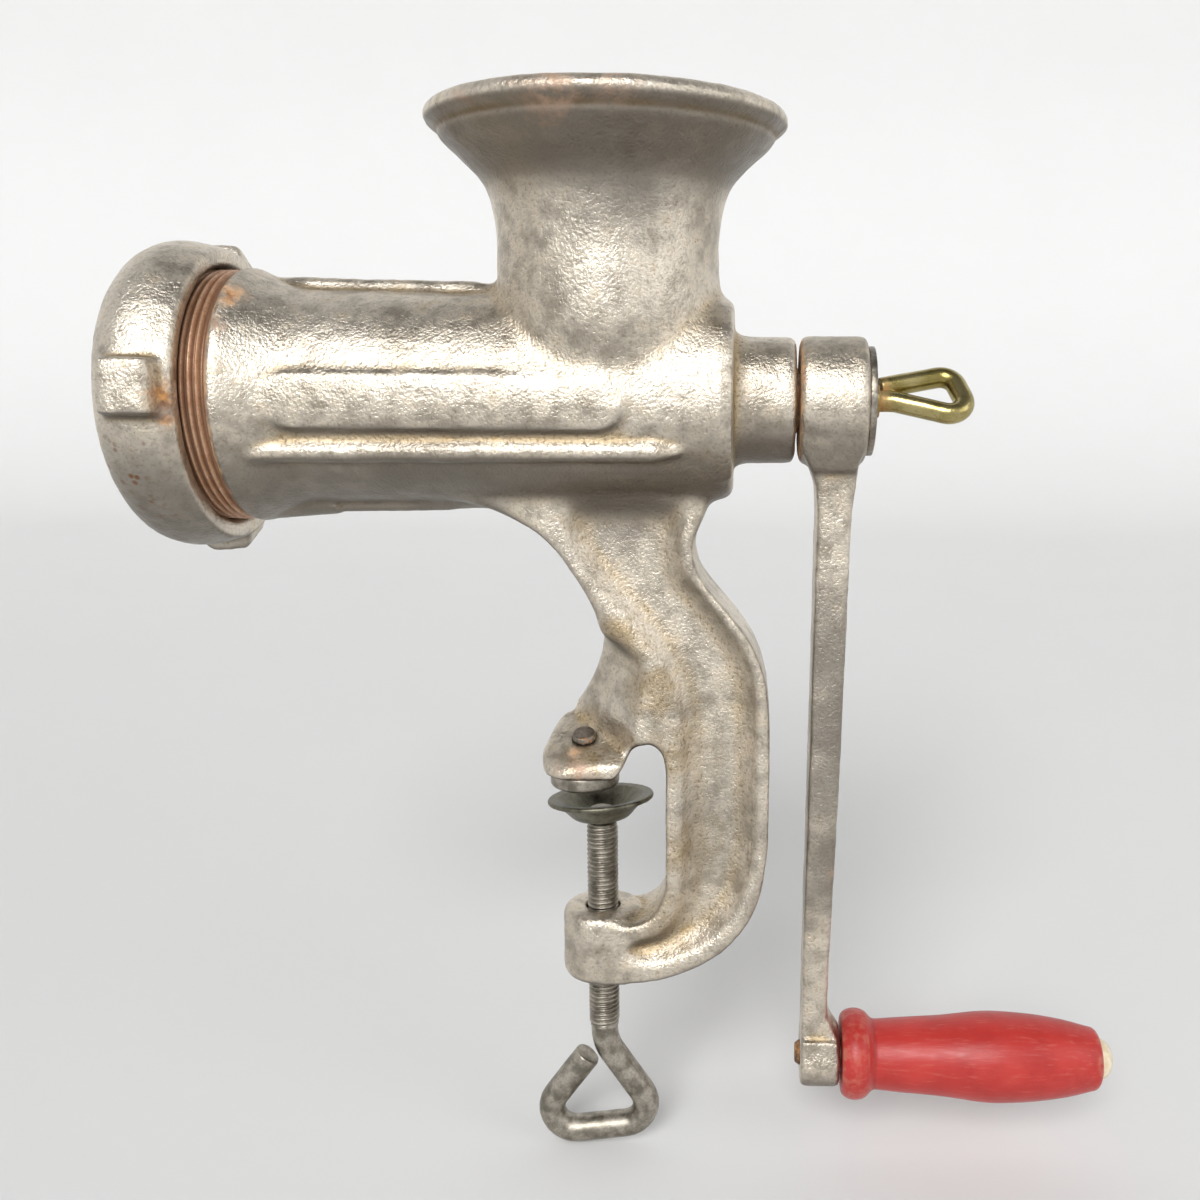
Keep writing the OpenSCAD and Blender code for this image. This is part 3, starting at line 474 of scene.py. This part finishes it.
def red_paint(name):
    """Red paint on turned wood: the grain shows through, and the edges are rubbed pale."""
    deep, red, light = (0.37, 0.024, 0.02), (0.45, 0.034, 0.028), (0.52, 0.11, 0.08)
    bare, dirt = (0.50, 0.24, 0.16), (0.22, 0.02, 0.018)
    along_grip = (0.12, 1, 1)
    p = Paint(name)
    hollow = p.attribute("hollow")
    cloud = p.noise(14 * MM, 3)
    grain = p.noise(1.1 * MM, 4, 0.6, along_grip)
    tone = p.blend(p.span(cloud, 0.3, 0.7), deep, red)
    tone = p.blend(p.span(grain, 0.54, 0.70, 0, 0.4), tone, light)
    rubbed = p.calc("MULTIPLY", p.span(hollow, -0.1, -0.8), p.span(p.noise(3 * MM, 4, seed=2.3), 0.42, 0.62))
    tone = p.blend(p.calc("MULTIPLY", rubbed, 0.4), tone, bare)
    tone = p.blend(p.span(hollow, 0.15, 0.8, 0, 0.6), tone, dirt)
    return p.finish(base_color=tone, roughness=p.span(grain, 0.3, 0.7, 0.30, 0.46),
                    normal=p.bump(grain, 0.08 * MM), specular_ior_level=0.4)


def pale_plug(name):
    """Pale, yellowed wood."""
    p = Paint(name)
    grain = p.noise(2 * MM, 4, 0.6)
    tone = p.blend(p.span(grain, 0.3, 0.7), (0.62, 0.50, 0.33), (0.76, 0.68, 0.52))
    return p.finish(base_color=tone, roughness=p.span(grain, 0.3, 0.7, 0.35, 0.5),
                    normal=p.bump(grain, 0.05 * MM))


def brown_fibre(name):
    """Dark brown pressed fibre."""
    p = Paint(name)
    grain = p.noise(0.9 * MM, 4, 0.6)
    tone = p.blend(grain, (0.10, 0.045, 0.02), (0.24, 0.12, 0.06))
    return p.finish(base_color=tone, roughness=p.span(grain, 0.3, 0.7, 0.6, 0.8),
                    normal=p.bump(grain, 0.1 * MM))


def dress(piece, body, material):
    """Gives a piece its material, and lets it ride a body."""
    piece.data.materials.clear()
    piece.data.materials.append(material)
    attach(piece, body)


# Shapes of single pieces

def tuck_neck(places):
    """Draws the outlet's neck in, so that its thread covers it."""
    r = from_axle(places)
    on_neck = (places[:, 0] < SHOULDER_X - 0.4 * MM) & (r > NECK_R - 1 * MM)
    share = np.where(on_neck, (NECK_R - 1.6 * MM) / np.maximum(r, 1e-6), 1)
    moved = places.copy()
    moved[:, 1] = AXLE.y + (places[:, 1] - AXLE.y) * share
    moved[:, 2] = AXLE.z + (places[:, 2] - AXLE.z) * share
    return moved


def tuck_rod(_, places):
    """Draws the clamp screw's upper rod in, so that its thread covers it."""
    r = from_screw(places)
    on_rod = (places[:, 2] > CLAMP_THREAD_LOW + 0.5 * MM) & (r > 4.9 * MM) & (r < 5.8 * MM)
    share = np.where(on_rod, 4.6 * MM / np.maximum(r, 1e-6), 1)
    moved = places.copy()
    moved[:, 0] = SCREW_X + (places[:, 0] - SCREW_X) * share
    moved[:, 1] = places[:, 1] * share
    return moved


def nearest(tree_places, places):
    """Distance in X and Z from each place to the nearest of the tree's places."""
    tree = kdtree.KDTree(len(tree_places))
    for i, (x, _, z) in enumerate(tree_places.tolist()):
        tree.insert((x, 0, z), i)
    tree.balance()
    return np.fromiter((tree.find((x, 0, z))[2] for x, _, z in places.tolist()), float, len(places))


def hollow_channel(mesh, places):
    """Makes the clamp frame's flat recesses smooth hollows that rise to the flanges."""
    slope_width, wall_reach, below_flange = 7.5 * MM, 1.3 * MM, 0.5 * MM
    out = normals(mesh)
    level = np.abs(places[:, 1])
    in_recess = (level > RECESS_Y - 0.5 * MM) & (level < FRAME_Y - 0.4 * MM)
    on_frame = in_recess & (places[:, 2] < AXLE.z - 30 * MM)
    floor = on_frame & (level < RECESS_Y + 0.4 * MM) & (np.abs(out[:, 1]) > 0.8)
    near_floor = np.full(len(places), 1.0)
    near_floor[on_frame] = nearest(places[floor], places[on_frame])
    wall = on_frame & ~floor & (near_floor < wall_reach)
    away = nearest(places[wall], places[floor])
    rise = 1 - np.sin(np.clip(away / slope_width, 0, 1) * math.pi / 2)
    side = np.sign(places[:, 1])
    moved = places.copy()
    moved[floor, 1] += side[floor] * (FRAME_Y - RECESS_Y - below_flange) * rise
    moved[wall, 1] = side[wall] * (FRAME_Y - below_flange)
    return moved


def shape_casting(mesh, places):
    """Room for the outlet's thread, and the clamp frame's channels."""
    return hollow_channel(mesh, tuck_neck(places))


def rim_bead(places):
    """Swells the hopper's rim to a bead with a groove below it."""
    spread = from_hopper(places)
    down = RIM_Z - places[:, 2]
    outside = ease(spread, RIM_INNER_R, RIM_OUTER_R) * (down < 14 * MM)
    swell = 0.7 * MM * bell(down, 3.8 * MM, 2.2 * MM)
    groove = -0.6 * MM * bell(down, RIM_LINE, 1.1 * MM)
    grow = 1 + outside * (swell + groove) / np.maximum(spread, 1 * MM)
    moved = places.copy()
    moved[:, 0] = HOPPER_X + (places[:, 0] - HOPPER_X) * grow
    moved[:, 1] = places[:, 1] * grow
    return moved


def mark_rim(piece):
    """Marks the groove below the hopper's rim, on its outer side, for the painted shade along it."""
    places = points(piece.data)
    outside = ease(from_hopper(places), RIM_INNER_R, RIM_OUTER_R)
    store(piece.data, "line", outside * bell(RIM_Z - places[:, 2], RIM_LINE, 0.8 * MM))


def casting_corners(places):
    """Share of rounding at the inner corners below the hopper and under the barrel."""
    x, y, z = places.T
    rho = from_axle(places)
    hopper = bell(rho, 33.5 * MM, 5 * MM) * bell(from_hopper(places), 34 * MM, 6 * MM) * (z > AXLE.z)
    under = bell(rho, 34 * MM, 5 * MM) * (z < AXLE.z - 18 * MM) * (np.abs(y) < 21 * MM)
    under = under * ease(x, -60 * MM, -30 * MM)
    return np.clip(np.maximum(hopper, under) * 1.4, 0, 1)


def soft_casting(mesh, places):
    """Rounds the casting's inner corners, its channel and its foot, and finishes the rim."""
    x, y, z = places.T
    foot = ease(z, 5.8 * MM, 9 * MM) * ease(-z, -66 * MM, -50 * MM) * ease(-x, -24 * MM, -12 * MM)
    notch = bell(x, 6 * MM, 11 * MM) * bell(z, 46 * MM, 14 * MM) * ease(-y, -4 * MM, 2 * MM)
    channel = ease(AXLE.z - z, 33 * MM, 40 * MM) * ease(np.abs(y), 4 * MM, 7 * MM) * ease(x, 8 * MM, 20 * MM)
    corners = casting_corners(places)
    for share, steps, back in ((corners, 60, 0.0), (channel, 4, 0.0), (np.clip(1.5 * notch, 0, 1), 90, 0.0),
                               (foot, 18, 0.0), (foot, 40, 1.03)):
        places = smoothed(mesh, places, steps, 0.5 * share[:, None], back)
    return rim_bead(places)


def hold_casting(places):
    """1 at the screw's hole and the jaw's seat, which keep their size, and 0 elsewhere."""
    z = places[:, 2]
    hole = ease(-from_screw(places), -9 * MM, -7.5 * MM) * (z < BOSS_TOP + 1 * MM) * (z > BOSS_LOW)
    seat = (np.abs(z - JAW_Z) < 0.5 * MM) * (np.hypot(places[:, 0], places[:, 1]) < 13 * MM)
    return np.maximum(hole, seat)


def soft_crank(mesh, places):
    """Rounds the crank where the arm runs into its hub and its eye."""
    z = places[:, 2]
    share = np.maximum(ease(-z, 72 * MM, 86 * MM), ease(z, AXLE.z - 40 * MM, AXLE.z - 26 * MM))
    return smoothed(mesh, places, 30, 0.5 * share[:, None], 1.03)


def soft_lugs(mesh, places):
    """Rounds the ring nut's lugs more than the ring."""
    share = ease(from_axle(places), 47.6 * MM, 49.4 * MM)[:, None]
    return places + share * (smoothed(mesh, places, 14) - places)


# Pieces

CAST_BUMPS = ((9 * MM, 0.16 * MM), (3.2 * MM, 0.10 * MM))
casting = skin("body_casting", "casting", 0.8 * MM, 4, CAST_BUMPS, shape_casting, soft_casting, hold_casting)
mark_rim(casting)
ring = skin("ring_nut", "ring", 0.7 * MM, 5, CAST_BUMPS, softer=soft_lugs)
crank = skin("crank_arm", "crank", 0.7 * MM, 10, CAST_BUMPS, softer=soft_crank)
worm = skin("feed_screw", "worm", 0.9 * MM, 4, ((4 * MM, 0.1 * MM),))
handle = skin("grip", "handle", 0.5 * MM, 3, ((12 * MM, 0.08 * MM),))
plug = skin("grip_plug", "plug", 0.3 * MM, 2)
loop_screw = skin("crank_screw", "loop_screw", 0.3 * MM, 3, ((5 * MM, 0.06 * MM),))
washer = skin("crank_washer", "washer", 0.35 * MM, 2, ((6 * MM, 0.05 * MM),))
pad = skin("jaw_pad", "pad", 0.35 * MM, 2, ((5 * MM, 0.05 * MM),))
rivet = skin("jaw_rivet", "rivet", 0.3 * MM, 3, ((3 * MM, 0.08 * MM),))
cup = skin("clamp_cup", "cup", 0.35 * MM, 2, ((6 * MM, 0.05 * MM),))
clamp = skin("clamp_screw", "clamp", 0.45 * MM, 3, ((5 * MM, 0.08 * MM),), tuck_rod)
bolt = skin("grip_bolt", "bolt", 0.35 * MM, 2, ((2 * MM, 0.05 * MM),))
plate = skin("cutting_plate", "plate", 0.4 * MM, 1)
blade = skin("knife", "blade", 0.4 * MM, 1)
stud = skin("knife_stud", "stud", 0.4 * MM, 1)
pin = skin("plate_pin", "pin", 0.3 * MM, 1)
thrust = skin("thrust_washer", "thrust", 0.35 * MM, 1)

neck_length = SHOULDER_X - (PLATE_X + 1 * MM)
outlet_thread = thread("outlet_thread", (SHOULDER_X, AXLE.y, AXLE.z), (-1, 0, 0), neck_length,
                       OUTLET_R, OUTLET_DEPTH, OUTLET_PITCH, sides=160)
clamp_thread = thread("clamp_thread", (SCREW_X, 0, CLAMP_THREAD_LOW), (0, 0, 1), CLAMP_THREAD_LENGTH,
                      CLAMP_R, CLAMP_DEPTH, CLAMP_PITCH, sides=64)


# Stains, painted dark reflections and finishes

def spot(x, y, z, radius, share):
    """A stain or a painted dark reflection at a place in millimetres, with its radius in millimetres and its
    strength.
    """
    return (x * MM, y * MM, z * MM), radius * MM, share


def by_axle(x, y, z, radius, share):
    """A stain or a painted dark reflection like spot(), with its height counted from the axle."""
    return (x * MM, y * MM, AXLE.z + z * MM), radius * MM, share


casting_rust = [by_axle(-102, -25, 32, 8, 0.95), by_axle(-103, -33, 22, 5, 0.7), spot(-3, -7, 13, 4.5, 0.6)]
# Painted dark reflections: dark patches on the hopper's front, the clamp frame and under the barrel.
casting_painted_reflections = [by_axle(20, -36, 62, 30, 0.75), spot(45, -9, -8, 22, 0.4),
                by_axle(14, -14, -36, 26, 0.6), by_axle(-40, -20, -26, 34, 0.4)]
casting_tan = [spot(14, -13, 54, 15, 0.7), spot(25, -12, 36, 13, 0.7), by_axle(42, -26, -26, 20, 0.6),
               by_axle(46, -30, 74, 16, 0.5), by_axle(-30, -30, 72, 16, 0.5), spot(2, -10, 14, 12, 0.7),
               spot(31, -9, 14, 17, 0.65), spot(35, -9, -16, 17, 0.6), spot(28, -9, -46, 17, 0.6)]
casting_blush = [by_axle(-1, -54, 84, 13, 0.9), by_axle(18, -55, 86, 12, 0.8),
                 by_axle(-28, -44, 86, 9, 0.5), spot(-1, -14, 8, 9, 0.9)]
casting_bands = [("X", SHOULDER_X, 1.2 * MM, 0.6)]
ring_rust = [by_axle(-113.4, -46.5, 1, 8, 0.95), by_axle(-113.4, -46.5, -5, 5, 0.8)]
# Painted dark reflection low on the ring's front.
ring_painted_reflections = [by_axle(-126, -44, -22, 18, 0.4)]
ring_pits = [by_axle(-128, -43, -18, 15, 1.0), by_axle(-122, -36, -34, 9, 0.8)]
# Painted dark reflections down the middle of the crank's arm.
crank_painted_reflections = [spot(85, -9, z, 32, 0.7) for z in (50, 25, 0, -25)]
crank_blush = [spot(90, -6, z, 9, 0.8) for z in (-30, -50)]
crank_bands = [("X", HUB_X, 1.3 * MM, 0.7)]

casting_tin = tinned_casting("casting_tin", 0.0, casting_rust, casting_painted_reflections, casting_tan, casting_blush,
                             casting_bands)
ring_tin = tinned_casting("ring_tin", -0.02, ring_rust, ring_painted_reflections, pits=ring_pits)
crank_tin = tinned_casting("crank_tin", 0.03, painted_reflections=crank_painted_reflections, blush=crank_blush, bands=crank_bands)
steel = worked_steel("aged_steel", (0.46, 0.42, 0.36), (0.20, 0.18, 0.145))
cup_steel = worked_steel("dull_sheet", (0.24, 0.23, 0.175), (0.10, 0.095, 0.07), 0.4)
thread_rust = rusty_thread("rusty_thread")
dark_steel = worked_steel("dark_steel", (0.30, 0.19, 0.13), (0.10, 0.055, 0.035), 0.5, 0.5)
rivet_steel = worked_steel("rivet_steel", (0.34, 0.31, 0.27), (0.14, 0.115, 0.09), 0.45, 0.12)
ground_steel = worked_steel("ground_steel", (0.52, 0.52, 0.52), (0.3, 0.3, 0.3), 0.28)

dress(casting, "body", casting_tin)
dress(outlet_thread, "body", thread_rust)
dress(ring, "ring", ring_tin)
dress(crank, "drive", crank_tin)
dress(worm, "drive", crank_tin)
dress(handle, "handle", red_paint("red_paint"))
dress(plug, "handle", pale_plug("plug_wood"))
dress(loop_screw, "wing_screw", yellow_zinc("yellow_zinc"))
dress(washer, "washer", steel)
dress(pad, "body", steel)
dress(rivet, "body", rivet_steel)
dress(cup, "cup", cup_steel)
dress(clamp, "clamp", steel)
dress(clamp_thread, "clamp", steel)
dress(bolt, "drive", dark_steel)
dress(plate, "plate", ground_steel)
dress(blade, "drive", ground_steel)
dress(stud, "drive", ground_steel)
dress(pin, "body", ground_steel)
dress(thrust, "drive", brown_fibre("fibre_washer"))


# Camera, floor and light

CAMERA_PLACE = (0.05498, -0.39247, 0.14279)
CAMERA_YAW, CAMERA_PITCH, CAMERA_ROLL = (math.radians(a) for a in (1.50, 11.25, 0.43))
CAMERA_SHIFT = -0.0967
SENSOR_MM = LENS_MM = 36
FLOOR_Z = cad_box[0].z - 0.5 * MM
FLOOR_HALF = 60.0
BEND_Y, BEND_R, BEND_STEPS = 1.6, 1.0, 16
BACKDROP_HIGH = 6.0
SKY_LEVELS = ((0.12, 0.78), (0.34, 0.60), (0.60, 0.48), (0.92, 0.16))


def add_camera():
    """Camera at the photograph's place, its axis right of the picture's middle as in the photograph."""
    data = bpy.data.cameras.new("camera")
    data.sensor_width = SENSOR_MM
    data.lens = LENS_MM
    data.shift_x = CAMERA_SHIFT
    data.clip_start = 0.01
    forward = Vector((-math.sin(CAMERA_YAW) * math.cos(CAMERA_PITCH),
                      math.cos(CAMERA_YAW) * math.cos(CAMERA_PITCH), -math.sin(CAMERA_PITCH)))
    right = Vector((math.cos(CAMERA_YAW), math.sin(CAMERA_YAW), 0))
    up = right.cross(forward)
    level = Matrix((math.cos(CAMERA_ROLL) * right + math.sin(CAMERA_ROLL) * up,
                    math.cos(CAMERA_ROLL) * up - math.sin(CAMERA_ROLL) * right, -forward)).transposed()
    camera = add_object("camera", data)
    camera.matrix_world = Matrix.Translation(CAMERA_PLACE) @ level.to_4x4()
    bpy.context.scene.camera = camera


def add_floor():
    """A pale floor that bends up into a backdrop behind the object."""
    turns = [math.pi / 2 * k / BEND_STEPS for k in range(BEND_STEPS + 1)]
    profile = [(-FLOOR_HALF, FLOOR_Z)]
    profile += [(BEND_Y + BEND_R * math.sin(t), FLOOR_Z + BEND_R * (1 - math.cos(t))) for t in turns]
    profile.append((BEND_Y + BEND_R, FLOOR_Z + BACKDROP_HIGH))
    mesh = bpy.data.meshes.new("floor")
    mesh.from_pydata([(x, y, z) for y, z in profile for x in (-FLOOR_HALF, FLOOR_HALF)], [],
                     [(2 * i, 2 * i + 1, 2 * i + 3, 2 * i + 2) for i in range(len(profile) - 1)])
    mesh.shade_smooth()
    floor = add_object("floor", mesh)
    p = Paint("floor")
    tone = p.blend(p.noise(0.2, 2), (0.69, 0.69, 0.685), (0.71, 0.71, 0.705))
    mesh.materials.append(p.finish(base_color=tone, roughness=0.8))


def add_sun(name, place, strength, spread):
    """Even soft light from the direction of a place."""
    data = bpy.data.lights.new(name, "SUN")
    data.energy = strength
    data.angle = math.radians(spread)
    add_object(name, data).rotation_euler = Vector(place).to_track_quat("Z", "Y").to_euler()


def add_light(name, place, aim, size, power):
    """A square lamp at a place, turned to what it lights."""
    data = bpy.data.lights.new(name, "AREA")
    data.energy = power
    data.size = size
    lamp = add_object(name, data)
    lamp.location = place
    lamp.rotation_euler = (Vector(aim) - Vector(place)).to_track_quat("-Z", "Y").to_euler()


def add_world():
    """A studio sky, pale at the horizon and dim overhead."""
    world = bpy.data.worlds.new("studio")
    bpy.context.scene.world = world
    world.use_nodes = True
    tree = world.node_tree
    way = tree.nodes.new("ShaderNodeTexCoord").outputs["Generated"]
    height = tree.nodes.new("ShaderNodeSeparateXYZ")
    tree.links.new(way, height.inputs[0])
    sky = tree.nodes.new("ShaderNodeValToRGB")
    tree.links.new(height.outputs["Z"], sky.inputs[0])
    for place, level in SKY_LEVELS:
        stop = sky.color_ramp.elements.new(place)
        stop.color = (level, level, level * 1.01, 1)
    for end in (0, -1):
        sky.color_ramp.elements.remove(sky.color_ramp.elements[end])
    tree.links.new(sky.outputs[0], tree.nodes["Background"].inputs["Color"])


add_camera()
add_floor()
add_world()
add_sun("key", (-0.15, -0.84, 0.62), 2.35, 30)
add_light("fill", (0.9, -0.5, 0.5), (0, 0, 0.05), 0.6, 2)
bpy.context.scene.view_settings.view_transform = "Standard"
